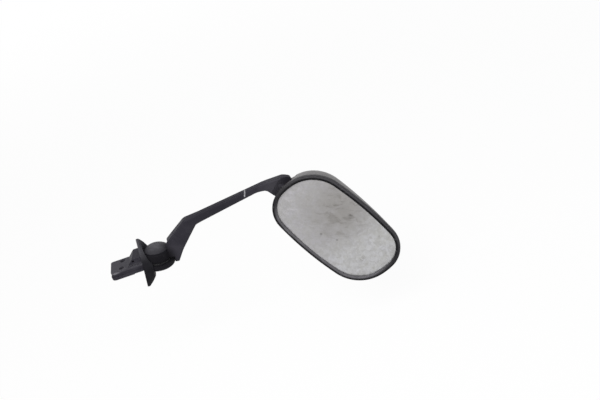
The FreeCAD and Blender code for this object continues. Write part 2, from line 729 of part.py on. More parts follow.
def mirror_housing():
    outside = housing_bowl(0.0)
    hollow = housing_bowl(HOUSING_WALL).cut(knuckle_bay(HOUSING_WALL))
    outer = BEZEL_INNER_FACE - EDGE_FIT
    inner = outer - EDGE_WALL
    edge_foot = -BEZEL_DEPTH - EDGE_WALL
    edge_top = -BEZEL_LIP_UNDER - EDGE_FIT
    edge = head_prism(outer, edge_foot, edge_top).cut(head_prism(inner, edge_foot, edge_top))
    ledge_back = -PAD_BACK - LEDGE_THICK
    ledge = head_prism(BEZEL_WIDTH - HOUSING_WALL + EDGE_FIT, ledge_back, -PAD_BACK).cut(
        head_prism(inner - LEDGE_WIDTH, ledge_back, -PAD_BACK)).common(outside)
    places = bracket_places()
    bosses = [cylinder(BOSS_R, -2 * HOUSING_DEPTH, BRACKET_BACK, p).common(outside) for p in places]
    screw_tip = BRACKET_BACK - BRACKET_THREAD
    pilots = [cylinder(BRACKET_SCREW_R, screw_tip, BRACKET_BACK, p) for p in places]
    hole = Part.makeCylinder(STUD_HOLE_R, 2 * KNUCKLE_R, BALL_IN_HEAD, STUD_IN_HEAD)
    shell = outside.cut(hollow).fuse([edge, ledge] + bosses)
    return shell.cut(pilots + [knuckle_bay(0.0), hole]).removeSplitter()


def mirror_glass():
    blank = head_prism(GLASS_TUCK, -PAD_BACK, BEZEL_RISE)
    front = Part.makeSphere(GLASS_CURVE_R, GLASS_CENTRE)
    back = Part.makeSphere(GLASS_CURVE_R - GLASS_THICK, GLASS_CENTRE)
    return blank.common(front).cut(back)


def glass_pad():
    blank = head_prism(-PAD_INSET, -PAD_BACK, BEZEL_RISE)
    return blank.common(Part.makeSphere(GLASS_CURVE_R - GLASS_THICK, GLASS_CENTRE))


def mirror_bezel():
    """A rounded section carried round the glass outline."""
    path = head_outline(0.0, 0.0)
    start = path.Edges[0].Vertexes[0].Point
    side = Vector(SIDE_ARC_SHIFT, GLASS_HALF_WIDTH - SIDE_ARC_R, 0)
    out = (start - side).normalize()

    def at(grow, height):
        return start + out * grow + UP * height

    inner = BEZEL_INNER_FACE
    peak = at(BEZEL_CROWN, BEZEL_RISE)
    slope = at(BEZEL_CROWN / 2, BEZEL_RISE * CROWN_FULLNESS)
    crown = Part.Arc(at(0, -BEZEL_LIP_EDGE), slope, peak)
    bead_out = BEZEL_CROWN + (BEZEL_WIDTH - BEZEL_CROWN) * BEAD_PLACE
    bead_up = (BEZEL_RISE - BEZEL_SHOULDER) / 2 + BEAD_BULGE
    bead = Part.Arc(peak, at(bead_out, bead_up), at(BEZEL_WIDTH, -BEZEL_SHOULDER))
    straight = [
        at(BEZEL_WIDTH, -BEZEL_SHOULDER), at(BEZEL_WIDTH, -BEZEL_DEPTH), at(inner, -BEZEL_DEPTH),
        at(inner, -BEZEL_LIP_UNDER), at(0, -BEZEL_LIP_UNDER), at(0, -BEZEL_LIP_EDGE),
    ]
    edges = [crown.toShape(), bead.toShape()]
    edges += [Part.LineSegment(a, b).toShape() for a, b in zip(straight, straight[1:])]
    return path.makePipeShell([Part.Wire(edges)], True, True)


# Ball clamp inside the head

def cap_shell(inner, outer, half_angle, facing):
    """A slice of a hollow ball round the joint's centre, about the way it faces along w."""
    angle = math.radians(half_angle)
    slant = Vector(math.sin(angle), 0, facing * math.cos(angle))
    half = Vector(math.sin(angle / 2), 0, facing * math.cos(angle / 2))
    pole = Vector(0, 0, facing)
    edges = [
        Part.LineSegment(pole * inner, pole * outer),
        Part.Arc(pole * outer, half * outer, slant * outer),
        Part.LineSegment(slant * outer, slant * inner),
        Part.Arc(slant * inner, half * inner, pole * inner),
    ]
    face = Part.Face(Part.Wire([edge.toShape() for edge in edges]))
    solid = face.revolve(ORIGIN, UP, 360)
    solid.translate(BALL_IN_HEAD)
    return solid


def neck_room():
    """The cone that the stud's neck sweeps as the head swivels."""
    far = 2 * KNUCKLE_R
    return Part.makeCone(0, far * math.tan(math.radians(NECK_CONE)), far, BALL_IN_HEAD, STUD_IN_HEAD)


def ball_seat(facing):
    return cap_shell(SEAT_R, SEAT_OUTER_R, SEAT_HALF_ANGLE, facing).cut(neck_room())


def round_joint(radius, angles):
    """Places on a circle round the joint's centre."""
    turns = [math.radians(angle) for angle in angles]
    return [(BALL_U + radius * math.cos(turn), BALL_V + radius * math.sin(turn)) for turn in turns]


def clamp_places():
    return round_joint(CLAMP_CIRCLE_R, CLAMP_ANGLES)


def bracket_places():
    return round_joint(BRACKET_CIRCLE_R, BRACKET_ANGLES)


def flange(bottom):
    """A flat plate round the joint, open where the ball and its seats are."""
    disc = cylinder(FLANGE_R, bottom, bottom + FLANGE_THICK, (BALL_U, BALL_V))
    return disc.cut(Part.makeSphere(CUP_R, BALL_IN_HEAD))


def clamp_plate():
    dish = cap_shell(CUP_R, CUP_R + DISH_THICK, DISH_HALF_ANGLE, 1)
    plate = dish.fuse(flange(DISH_SEAT_W))
    hole_r = CLAMP_SCREW_R + HOLE_CLEARANCE
    holes = [cylinder(hole_r, DISH_SEAT_W, DISH_SEAT_W + FLANGE_THICK, p) for p in clamp_places()]
    plate = plate.cut(holes + [neck_room()])
    return plate.common(housing_bowl(HOUSING_WALL + FITTING_ROOM)).removeSplitter()


def socket_bracket():
    cup = cap_shell(CUP_R, CUP_R + CUP_THICK, CUP_HALF_ANGLE, -1)
    pillar_top = DISH_SEAT_W - PILLAR_GAP
    pillars = [cylinder(PILLAR_R, BRACKET_BACK, pillar_top, p) for p in clamp_places()]
    feet = [cylinder(BRACKET_ARM_HALF, BRACKET_BACK, BRACKET_FRONT, p) for p in bracket_places()]
    ties = [bracket_tie(p) for p in bracket_places()]
    holes = [cylinder(CLAMP_SCREW_R, pillar_top - CLAMP_THREAD, pillar_top, p) for p in clamp_places()]
    hole_r = BRACKET_SCREW_R + HOLE_CLEARANCE
    holes += [cylinder(hole_r, BRACKET_BACK, BRACKET_FRONT, p) for p in bracket_places()]
    bracket = cup.fuse([flange(BRACKET_BACK)] + pillars + feet + ties).cut(holes + [neck_room()])
    return bracket.common(housing_bowl(HOUSING_WALL + FITTING_ROOM)).removeSplitter()


def bracket_tie(place):
    """A flat arm from the cup to one fixing screw."""
    reach = Vector(place[0] - BALL_U, place[1] - BALL_V, 0)
    corner = Vector(CUP_R, -BRACKET_ARM_HALF, 0)
    tie = Part.makeBox(reach.Length - CUP_R, 2 * BRACKET_ARM_HALF, FLANGE_THICK, corner)
    tie.rotate(ORIGIN, UP, math.degrees(math.atan2(reach.y, reach.x)))
    tie.translate(Vector(BALL_U, BALL_V, BRACKET_BACK))
    return tie


def clamp_screws():
    under_head = DISH_SEAT_W + FLANGE_THICK + SPRING_WASHER_THICK
    tip = DISH_SEAT_W - PILLAR_GAP - CLAMP_THREAD
    screws = []
    for place in clamp_places():
        shank = cylinder(CLAMP_SCREW_R, tip, under_head, place)
        head = cylinder(CLAMP_HEAD_R, under_head, under_head + CLAMP_HEAD_HEIGHT, place)
        screws.append(shank.fuse(head).removeSplitter())
    return Part.makeCompound(screws)


def spring_washers():
    bottom = DISH_SEAT_W + FLANGE_THICK
    top = bottom + SPRING_WASHER_THICK
    rings = []
    for place in clamp_places():
        disc = cylinder(SPRING_WASHER_R, bottom, top, place)
        rings.append(disc.cut(cylinder(CLAMP_SCREW_R + HOLE_CLEARANCE, bottom, top, place)))
    return Part.makeCompound(rings)


def bracket_screws():
    screws = []
    for place in bracket_places():
        shank = cylinder(BRACKET_SCREW_R, BRACKET_BACK - BRACKET_THREAD, BRACKET_FRONT, place)
        head = cylinder(BRACKET_HEAD_R, BRACKET_FRONT, BRACKET_FRONT + BRACKET_HEAD_HEIGHT, place)
        screws.append(shank.fuse(head).removeSplitter())
    return Part.makeCompound(screws)


def build():
    pieces = {"base_casting": base_casting()}
    on_pivot = {
        "fairing_gasket": fairing_gasket(),
        "pivot_bolt": pivot_bolt(),
        "friction_washer": ring(FRICTION_WASHER_R, BOLT_R + RUNNING_CLEARANCE, HUB_TOP, 0),
        "thrust_washer": ring(THRUST_WASHER_R, BOLT_R + RUNNING_CLEARANCE, EYE_FLOOR, THRUST_TOP),
        "disc_spring": disc_spring(),
        "pivot_nut": hexagon(NUT_FLATS, SPRING_TOP, NUT_TOP).cut(cylinder(BOLT_R, SPRING_TOP, NUT_TOP)),
        "pivot_cap": pivot_cap(),
        "arm": arm(),
        "ball_stud": ball_stud(),
        "stud_pin": pin_solid(),
    }
    in_head = {
        "front_seat": ball_seat(1),
        "rear_seat": ball_seat(-1),
        "clamp_plate": clamp_plate(),
        "clamp_screws": clamp_screws(),
        "spring_washers": spring_washers(),
        "socket_bracket": socket_bracket(),
        "bracket_screws": bracket_screws(),
        "mirror_housing": mirror_housing(),
        "glass_pad": glass_pad(),
        "mirror_glass": mirror_glass(),
        "mirror_bezel": mirror_bezel(),
    }
    for name, shape in on_pivot.items():
        pieces[name] = placed(shape, PIVOT_PLACE)
    for name, shape in in_head.items():
        pieces[name] = placed(shape, HEAD_PLACE, PIVOT_PLACE)
    return pieces


os.makedirs("parts", exist_ok=True)
for name, shape in build().items():
    print(name, len(shape.Solids), shape.isValid(), round(shape.Volume))
    shape.exportStep("parts/" + name + ".step")
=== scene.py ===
# Looks of a folding scooter mirror: coats, rubber, dirty glass, soft light and the camera
import math

import bmesh
import bpy
from mathutils import Matrix, Vector


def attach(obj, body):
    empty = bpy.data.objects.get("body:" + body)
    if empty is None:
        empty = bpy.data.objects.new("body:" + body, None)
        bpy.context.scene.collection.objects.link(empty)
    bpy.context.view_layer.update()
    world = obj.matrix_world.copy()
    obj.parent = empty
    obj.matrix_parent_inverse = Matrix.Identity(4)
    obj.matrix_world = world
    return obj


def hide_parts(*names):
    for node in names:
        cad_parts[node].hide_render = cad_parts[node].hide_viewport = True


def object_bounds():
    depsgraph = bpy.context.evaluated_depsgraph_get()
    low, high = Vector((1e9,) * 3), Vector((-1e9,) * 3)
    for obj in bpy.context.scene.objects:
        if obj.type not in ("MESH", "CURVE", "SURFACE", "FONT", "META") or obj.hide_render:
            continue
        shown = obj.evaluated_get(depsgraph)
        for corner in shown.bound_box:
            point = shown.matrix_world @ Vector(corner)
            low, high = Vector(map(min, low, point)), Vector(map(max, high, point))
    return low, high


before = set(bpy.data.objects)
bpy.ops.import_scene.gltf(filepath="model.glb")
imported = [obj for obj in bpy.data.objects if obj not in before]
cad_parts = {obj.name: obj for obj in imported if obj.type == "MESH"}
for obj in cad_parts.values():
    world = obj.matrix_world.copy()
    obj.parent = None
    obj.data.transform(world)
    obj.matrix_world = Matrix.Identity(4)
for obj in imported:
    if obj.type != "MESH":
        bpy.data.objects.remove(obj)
cad_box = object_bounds()


def colour(red, green, blue):
    """A plain colour for a shader socket."""
    return (red, green, blue, 1.0)


# Camera: its place in metres, its angles in degrees, and its lens
CAMERA_PLACE = Vector((0.3398, -1.1446, 0.5890))
CAMERA_AZIMUTH = 5.06
CAMERA_ELEVATION = 26.56
CAMERA_ROLL = -21.19
RIGHT_ANGLE = 90.0
PICTURE_WIDTH = 600.0
FOCAL_PIXELS = 1040.0
SENSOR_WIDTH = 36.0

# Light: the strength of the surroundings, and each lamp's power in watts and its size and place in metres
WORLD_LIGHT = 0.26
KEY_POWER = 14.0
KEY_SIZE = 0.8
KEY_PLACE = Vector((0.00, -0.78, 0.92))
FILL_POWER = 1.0
FILL_SIZE = 1.2
FILL_PLACE = Vector((0.95, -0.75, 0.45))
BACK_POWER = 50.0
BACK_SIZE = 1.6
BACK_PLACE = Vector((0.50, 3.60, 0.75))
LIGHT_TARGET = Vector((0.17, 0.0, 0.02))
SEEN_RAYS = ("Is Camera Ray", "Is Glossy Ray", "Is Transmission Ray")
WHITE = colour(1.0, 1.0, 1.0)

# Floor: its half width, its drop below the object, and the reach over which it fades to white, in metres
FLOOR_HALF = 6.0
FLOOR_DROP = 0.06
FLOOR_FADE_START = 0.7
FLOOR_FADE_END = 2.4
FLOOR_WHITE_SHARE = 0.95
FLOOR_COLOUR = colour(0.9, 0.9, 0.9)

# The mirror head: the middle of its glass, along its long side and across it
GLASS_MIDDLE = Vector((0.27027, -0.03966, -0.01859))
HEAD_LONG = Vector((0.559925, -0.231930, -0.795420))
HEAD_ACROSS = Vector((0.816330, -0.009806, 0.577503))
EMPTY_EDGE = 0.000001

# Level and uphill on the glass as the head lies, and the way the bezel's painted light falls, each by a
# cosine and a sine
UP = Vector((0.0, 0.0, 1.0))
LEVEL_COSINE = 0.809
LEVEL_SINE = 0.588
LIGHT_WAY_COSINE = 0.9
LIGHT_WAY_SINE = 0.436
HEAD_LEVEL = LEVEL_COSINE * HEAD_LONG + LEVEL_SINE * HEAD_ACROSS
HEAD_UPHILL = LEVEL_COSINE * HEAD_ACROSS - LEVEL_SINE * HEAD_LONG
LIGHT_WAY = LIGHT_WAY_COSINE * HEAD_UPHILL + LIGHT_WAY_SINE * HEAD_LEVEL

# Places on the arm and the base, in metres
PIVOT_MIDDLE = Vector((0.046, 0.0, 0.0025))
CAP_TOP = Vector((0.0490, -0.0020, 0.0220))
RUN_FACE = Vector((0.1380, -0.0060, 0.0450))
TAIL_FACE = Vector((0.2150, -0.0050, 0.0450))
TONGUE_TOP = Vector((0.0, 0.0, 0.010))
TONGUE_LIP = Vector((-0.0085, -0.0158, 0.0085))

# The chalk line across the arm: its two ends, the way it is thin, and how far it is full and seen that way
CHALK_TOP = Vector((0.17922, 0.00144, 0.05157))
CHALK_FOOT = Vector((0.17726, -0.00480, 0.04684))
CHALK_THIN = Vector((0.924, 0.0, -0.383))
CHALK_FULL = 0.0005
CHALK_SEEN = 0.0010

# Colours of the coat on base and arm, with painted shade around the pivot and along the run, painted light on
# the tail and a painted highlight on the tongue's front edge, and how far the run of the arm takes its
# painted shade
COAT = colour(0.026, 0.0245, 0.032)
COAT_DUSTY = colour(0.038, 0.036, 0.0445)
COAT_PIVOT_SHADE = colour(0.0085, 0.008, 0.010)
# painted shade around the pivot, under the cap
COAT_RUBBED = colour(0.045, 0.043, 0.051)
TONGUE_TOP_PALE = colour(0.058, 0.056, 0.065)
# painted highlight along the tongue's front lower edge
LIP_HIGHLIGHT = colour(0.165, 0.160, 0.175)
# painted shade along the run of the arm, and how strong it is
RUN_SHADE = colour(0.0225, 0.0212, 0.0275)
RUN_SHADE_SHARE = 0.8
# painted light on the arm's tail, where the head shades it
TAIL_LIT = colour(0.054, 0.052, 0.061)
CHALK = colour(0.60, 0.60, 0.62)

# Colours of the gasket and the pivot's cap, with painted light on the gasket's upper tip and painted light
# and shade on the cap
RUBBER = colour(0.008, 0.0077, 0.0095)
RUBBER_BLOOM = colour(0.015, 0.0146, 0.0175)
# painted light on the gasket's upper tip
RUBBER_LIT = colour(0.062, 0.061, 0.069)
# painted shade on the cap's sides, painted light where it faces up, then dust with a painted highlight in the
# middle of its dome
CAP_SIDE_SHADE = colour(0.0085, 0.008, 0.0105)
CAP_TOP_LIT = colour(0.032, 0.031, 0.036)
CAP_DUST_AND_HIGHLIGHT = colour(0.112, 0.110, 0.121)

# Colours of the inner pieces
ZINC = colour(0.62, 0.62, 0.60)
ZINC_DULL = colour(0.44, 0.43, 0.40)
NYLON = colour(0.72, 0.70, 0.64)
NYLON_GREASY = colour(0.55, 0.51, 0.42)
MOULDING = colour(0.010, 0.010, 0.011)
MOULDING_FLOW = colour(0.018, 0.018, 0.019)
FOAM = colour(0.045, 0.045, 0.047)
FOAM_CELL = colour(0.085, 0.085, 0.088)

# Colours of the housing and the bezel, with the bezel's painted light and shade
PAINT = colour(0.058, 0.053, 0.055)
PAINT_FLAKE = colour(0.089, 0.082, 0.084)
PAINT_DUSTY = colour(0.078, 0.072, 0.074)
# painted shade where the bezel faces away, and painted light where it faces the other way
BEZEL_SHADE = colour(0.006, 0.0058, 0.007)
BEZEL = colour(0.027, 0.0262, 0.0285)
BEZEL_SCUFFED = colour(0.060, 0.059, 0.063)
BEZEL_LIT = colour(0.132, 0.128, 0.138)

# Colours of the film on the glass, at the arm's end and at the far end, and of the marks in it
FILM_NEAR = colour(0.405, 0.397, 0.417)
FILM_NEAR_CLOUD = colour(0.378, 0.372, 0.376)
FILM_FAR = colour(0.498, 0.499, 0.518)
FILM_FAR_CLOUD = colour(0.440, 0.439, 0.434)
FILM_MOTTLE = colour(0.322, 0.316, 0.307)
FILM_HAZE = colour(0.282, 0.271, 0.262)
FILM_SMEAR = colour(0.200, 0.191, 0.183)
FILM_STAIN = colour(0.245, 0.238, 0.220)
FILM_SPECK = colour(0.120, 0.115, 0.110)


def on_glass(along, across):
    """A place on the glass, in metres from its middle."""
    return GLASS_MIDDLE + along * HEAD_LONG + across * HEAD_ACROSS


class Nodes:
    """A shader tree, with short ways to add to it."""

    def __init__(self, tree):
        self.tree = tree

    def add(self, kind, **settings):
        node = self.tree.nodes.new(kind)
        for key, value in settings.items():
            setattr(node, key, value)
        return node

    def give(self, socket, value):
        """Links a node's output to a socket, or sets a plain value on it."""
        if isinstance(value, bpy.types.NodeSocket):
            self.tree.links.new(value, socket)
        else:
            socket.default_value = value

    def spread(self, value, low, high, first=0.0, last=1.0):
        """Maps low to high onto first to last, and holds the ends."""
        node = self.add("ShaderNodeMapRange", interpolation_type="SMOOTHSTEP")
        self.give(node.inputs["Value"], value)
        node.inputs["From Min"].default_value = low
        node.inputs["From Max"].default_value = high
        node.inputs["To Min"].default_value = first
        node.inputs["To Max"].default_value = last
        return node.outputs["Result"]

    def between(self, share, first, last):
        """Goes from first to last as a share goes from 0 to 1."""
        return self.spread(share, 0.0, 1.0, first, last)

    def both(self, first, second):
        """The product of two masks."""
        node = self.add("ShaderNodeMath", operation="MULTIPLY")
        self.give(node.inputs[0], first)
        self.give(node.inputs[1], second)
        return node.outputs["Value"]

    def either(self, *masks):
        """The stronger of some masks."""
        share = masks[0]
        for mask in masks[1:]:
            node = self.add("ShaderNodeMath", operation="MAXIMUM")
            self.give(node.inputs[0], share)
            self.give(node.inputs[1], mask)
            share = node.outputs["Value"]
        return share

    def seen(self):
        """1 for rays that come from the camera or a reflection, 0 for those that light a surface."""
        path = self.add("ShaderNodeLightPath")
        return self.either(*(path.outputs[name] for name in SEEN_RAYS))


class Finish(Nodes):
    """A procedural material that follows the part's own coordinates, in metres."""

    def __init__(self, name):
        self.material = bpy.data.materials.new(name)
        self.material.use_nodes = True
        super().__init__(self.material.node_tree)
        self.shader = self.tree.nodes["Principled BSDF"]
        own = self.add("ShaderNodeTexCoord")
        self.place = own.outputs["Object"]
        self.facing = own.outputs["Normal"]
        self.normal = None

    def set(self, **values):
        """Sets the shader's sockets, named with underscores for spaces."""
        for key, value in values.items():
            self.give(self.shader.inputs[key.replace("_", " ")], value)

    def noise(self, grain, detail=3.0, warp=0.0, axis=None, share=1.0):
        """Cloudy noise in lumps about a grain across, and a grain over a share long on any given axis."""
        node = self.add("ShaderNodeTexNoise")
        self.give(node.inputs["Vector"], self.place if axis is None else self.squeezed(axis, share))
        node.inputs["Scale"].default_value = 1.0 / grain
        node.inputs["Detail"].default_value = detail
        node.inputs["Distortion"].default_value = warp
        return node.outputs["Fac"]

    def cells(self, grain):
        """Distance to the nearest of many scattered points, one grain apart."""
        node = self.add("ShaderNodeTexVoronoi")
        self.give(node.inputs["Vector"], self.place)
        node.inputs["Scale"].default_value = 1.0 / grain
        return node.outputs["Distance"]

    def mix(self, share, first, second):
        """Colour that goes from first to second with share."""
        node = self.add("ShaderNodeMix", data_type="RGBA")
        self.give(node.inputs["Factor"], share)
        self.give(node.inputs["A"], first)
        self.give(node.inputs["B"], second)
        return node.outputs["Result"]

    def along(self, vector, axis):
        """How far a vector goes along an axis."""
        dot = self.add("ShaderNodeVectorMath", operation="DOT_PRODUCT")
        self.give(dot.inputs[0], vector)
        dot.inputs[1].default_value = axis
        return dot.outputs["Value"]

    def past(self, centre, axis, start, end, first=0.0, last=1.0):
        """First up to a start and last from an end, in metres from a centre along an axis."""
        level = centre.dot(axis)
        return self.spread(self.along(self.place, axis), level + start, level + end, first, last)

    def band(self, centre, axis, full, seen):
        """1 as far as full and 0 from seen on, in metres either way from a centre along an axis."""
        return self.both(self.past(centre, axis, -seen, -full), self.past(centre, -axis, -seen, -full))

    def squeezed(self, axis, share):
        """The part's coordinates shortened to a share along an axis."""
        shift = self.add("ShaderNodeVectorMath", operation="SCALE")
        shift.inputs[0].default_value = (share - 1.0) * axis
        self.give(shift.inputs["Scale"], self.along(self.place, axis))
        moved = self.add("ShaderNodeVectorMath", operation="ADD")
        self.give(moved.inputs[0], self.place)
        self.give(moved.inputs[1], shift.outputs["Vector"])
        return moved.outputs["Vector"]

    def reach(self, centre):
        """Distance from a centre, in metres, at each point."""
        node = self.add("ShaderNodeVectorMath", operation="DISTANCE")
        self.give(node.inputs[0], self.place)
        node.inputs[1].default_value = centre
        return node.outputs["Value"]

    def spot(self, centre, radius, core=0.0):
        """1 as far as a core from a centre, fading to 0 a radius away."""
        return self.spread(self.reach(centre), core, radius, 1.0, 0.0)

    def relief(self, value, height):
        """Adds a bump of that height, in metres, for a value from 0 to 1."""
        node = self.add("ShaderNodeBump")
        node.inputs["Distance"].default_value = height
        self.give(node.inputs["Height"], value)
        if self.normal is not None:
            self.give(node.inputs["Normal"], self.normal)
        self.normal = node.outputs["Normal"]
        self.give(self.shader.inputs["Normal"], self.normal)


def satin_coat(finish):
    """Gives a finish the gloss and grain of a satin black coat, and returns the coat's colour with its wear,
    and with painted shade around the pivot.
    """
    dust = finish.spread(finish.noise(grain=0.022, warp=0.6), low=0.42, high=0.74)
    rubbed = finish.spread(finish.noise(grain=0.004, detail=5.0), low=0.64, high=0.76)
    # painted shade: the coat is darker around the pivot, where the cap overhangs the hub and eye
    pivot_shade = finish.spot(PIVOT_MIDDLE, radius=0.030, core=0.018)
    coat = finish.mix(pivot_shade, finish.mix(dust, COAT, COAT_DUSTY), COAT_PIVOT_SHADE)
    finish.set(Roughness=finish.between(dust, first=0.44, last=0.62), Specular_IOR_Level=0.05)
    finish.relief(finish.noise(grain=0.0011, detail=2.0), height=0.00012)
    return finish.mix(rubbed, coat, COAT_RUBBED)


def coated_casting(name):
    """The coat on the base casting, paler on the flat of its tongue, with a painted highlight on the tongue's
    front lower edge.
    """
    finish = Finish(name)
    patchy = finish.spread(finish.noise(grain=0.007, detail=4.0, warp=0.5), low=0.25, high=0.65, first=0.55)
    # paler in patches on the flat top of the tongue
    tongue_top_pale = finish.both(finish.band(TONGUE_TOP, UP, full=0.001, seen=0.003), patchy)
    # painted highlight: a pale glint along the tongue's front lower edge
    lip_highlight = finish.both(
        finish.spot(TONGUE_LIP, radius=0.009),
        finish.band(TONGUE_LIP, UP, full=0.0004, seen=0.0016),
    )
    coat = finish.mix(tongue_top_pale, satin_coat(finish), TONGUE_TOP_PALE)
    finish.set(Base_Color=finish.mix(lip_highlight, coat, LIP_HIGHLIGHT))
    return finish


def chalked_casting(name):
    """The coat on the arm, with painted shade along its run and painted light on its tail, and a chalk line
    across it.
    """
    finish = Finish(name)
    line = finish.both(
        finish.band(CHALK_TOP, CHALK_THIN, CHALK_FULL, CHALK_SEEN),
        finish.spot((CHALK_TOP + CHALK_FOOT) / 2.0, radius=0.0065),
    )
    worn = finish.spread(finish.noise(grain=0.0012, detail=2.0), low=0.30, high=0.55, first=0.25, last=0.9)
    chalk = finish.either(finish.both(line, worn), finish.spot(CHALK_FOOT, radius=0.0014))
    # painted shade: the middle of the arm's run is darkened
    run_shade = finish.both(finish.spot(RUN_FACE, radius=0.062), RUN_SHADE_SHARE)
    coat = finish.mix(run_shade, satin_coat(finish), RUN_SHADE)
    # painted light: the tail's face is lightened against the head's shadow
    coat = finish.mix(finish.spot(TAIL_FACE, radius=0.026), coat, TAIL_LIT)
    finish.set(Base_Color=finish.mix(chalk, coat, CHALK))
    return finish


def gasket_rubber(name):
    """Matt moulded rubber with a grey bloom, and painted light towards its upper tip."""
    finish = Finish(name)
    bloom = finish.spread(finish.noise(grain=0.012, detail=5.0, warp=0.8), low=0.40, high=0.72)
    # painted light: the gasket grows paler towards its upper tip
    upper_light = finish.past(PIVOT_MIDDLE, UP, start=0.004, end=0.024)
    finish.set(
        Base_Color=finish.mix(upper_light, finish.mix(bloom, RUBBER, RUBBER_BLOOM), RUBBER_LIT),
        Roughness=finish.between(bloom, first=0.58, last=0.80),
        Specular_IOR_Level=0.05,
    )
    finish.relief(finish.noise(grain=0.0016), height=0.00010)
    return finish


def cap_plastic(name):
    """Grained black plastic with painted shade on its sides and painted light on its top, and dust with a
    painted highlight in the middle of its dome.
    """
    finish = Finish(name)
    # painted light and shade: lighter where the cap faces up, darker on its sides
    facing_light = finish.spread(finish.along(finish.facing, UP), low=0.10, high=0.95)
    patchy = finish.spread(finish.noise(grain=0.009, detail=5.0, warp=0.5), low=0.30, high=0.70, first=0.6)
    # patchy dust with a painted highlight in the middle of the dome
    dust = finish.both(patchy, finish.spot(CAP_TOP, radius=0.0165))
    finish.set(
        Base_Color=finish.mix(dust, finish.mix(facing_light, CAP_SIDE_SHADE, CAP_TOP_LIT), CAP_DUST_AND_HIGHLIGHT),
        Roughness=finish.between(dust, first=0.46, last=0.66),
        Specular_IOR_Level=0.06,
    )
    finish.relief(finish.noise(grain=0.0009, detail=2.0), height=0.00009)
    return finish


def plated_steel(name):
    """Zinc plated steel with fine brushing and dull patches."""
    finish = Finish(name)
    dull = finish.spread(finish.noise(grain=0.005, detail=5.0), low=0.40, high=0.70)
    finish.set(
        Base_Color=finish.mix(dull, ZINC, ZINC_DULL),
        Metallic=1.0,
        Roughness=finish.between(dull, first=0.28, last=0.48),
    )
    finish.relief(finish.noise(grain=0.0006, axis=UP, share=8.0), height=0.00003)
    return finish


def nylon(name):
    """Natural nylon, slightly yellowed and greasy."""
    finish = Finish(name)
    grease = finish.spread(finish.noise(grain=0.004, detail=4.0), low=0.45, high=0.70)
    finish.set(
        Base_Color=finish.mix(grease, NYLON, NYLON_GREASY),
        Roughness=finish.between(grease, first=0.48, last=0.28),
        Subsurface_Weight=0.1,
    )
    finish.relief(finish.noise(grain=0.0008), height=0.00003)
    return finish


def moulded_plastic(name):
    """Glass filled black plastic with flow marks."""
    finish = Finish(name)
    flow = finish.spread(finish.noise(grain=0.006, warp=1.0, axis=UP, share=3.0), low=0.40, high=0.70)
    finish.set(
        Base_Color=finish.mix(flow, MOULDING, MOULDING_FLOW),
        Roughness=finish.between(flow, first=0.50, last=0.66),
    )
    finish.relief(finish.noise(grain=0.0010), height=0.00006)
    return finish


def housing_paint(name):
    """Grey metallic paint with fine flake, clear coat and dusty film."""
    finish = Finish(name)
    flake = finish.spread(finish.noise(grain=0.0005, detail=2.0), low=0.40, high=0.66)
    film = finish.spread(finish.noise(grain=0.020, detail=5.0, warp=0.7), low=0.42, high=0.72)
    finish.set(
        Base_Color=finish.mix(film, finish.mix(flake, PAINT, PAINT_FLAKE), PAINT_DUSTY),
        Metallic=0.35,
        Roughness=finish.between(film, first=0.40, last=0.48),
        Coat_Weight=0.15,
        Coat_Roughness=0.2,
    )
    finish.relief(flake, height=0.00002)
    return finish


def pad_foam(name):
    """Closed cell foam."""
    finish = Finish(name)
    cell = finish.spread(finish.cells(grain=0.0012), low=0.2, high=0.7)
    finish.set(Base_Color=finish.mix(cell, FOAM, FOAM_CELL), Roughness=0.9)
    finish.relief(cell, height=0.0002)
    return finish


def dirty_mirror(name):
    """Convex mirror under dried dust: cloudy film, brown haze, smears, stains and dark specks."""
    finish = Finish(name)
    cloud = finish.spread(finish.noise(grain=0.011, detail=6.0, warp=0.9), low=0.34, high=0.68)
    mottle = finish.spread(finish.noise(grain=0.005, detail=6.0, warp=0.8), low=0.38, high=0.64, last=0.5)
    streaks = finish.noise(grain=0.005, detail=4.0, warp=0.6, axis=HEAD_LEVEL, share=0.45)
    smear = finish.spread(streaks, low=0.47, high=0.66)
    far = finish.past(GLASS_MIDDLE, HEAD_LONG, start=-0.015, end=0.040)
    haze = finish.both(
        finish.spot(on_glass(along=-0.013, across=0.022), radius=0.064),
        finish.spread(finish.noise(grain=0.018, detail=4.0, warp=0.6), low=0.28, high=0.55, first=0.55),
    )
    stains = finish.both(
        finish.either(
            finish.spot(on_glass(along=0.0498, across=-0.0126), radius=0.0080),
            finish.spot(on_glass(along=0.0472, across=0.0241), radius=0.0045),
        ),
        finish.spread(finish.noise(grain=0.0026, warp=1.2), low=0.42, high=0.58, last=0.9),
    )
    specks = finish.either(
        finish.spot(on_glass(along=-0.0104, across=-0.0170), radius=0.0026),
        finish.spot(on_glass(along=0.0095, across=-0.0111), radius=0.0022),
        finish.both(finish.spot(on_glass(along=0.0033, across=0.0236), radius=0.0050), smear),
    )
    film = finish.mix(
        far,
        finish.mix(cloud, FILM_NEAR, FILM_NEAR_CLOUD),
        finish.mix(cloud, FILM_FAR, FILM_FAR_CLOUD),
    )
    film = finish.mix(mottle, film, FILM_MOTTLE)
    film = finish.mix(haze, film, FILM_HAZE)
    film = finish.mix(finish.both(smear, haze), film, FILM_SMEAR)
    film = finish.mix(stains, film, FILM_STAIN)
    finish.set(
        Base_Color=finish.mix(specks, film, FILM_SPECK),
        Metallic=finish.between(cloud, first=0.80, last=0.60),
        Roughness=finish.between(smear, first=0.30, last=0.55),
    )
    return finish


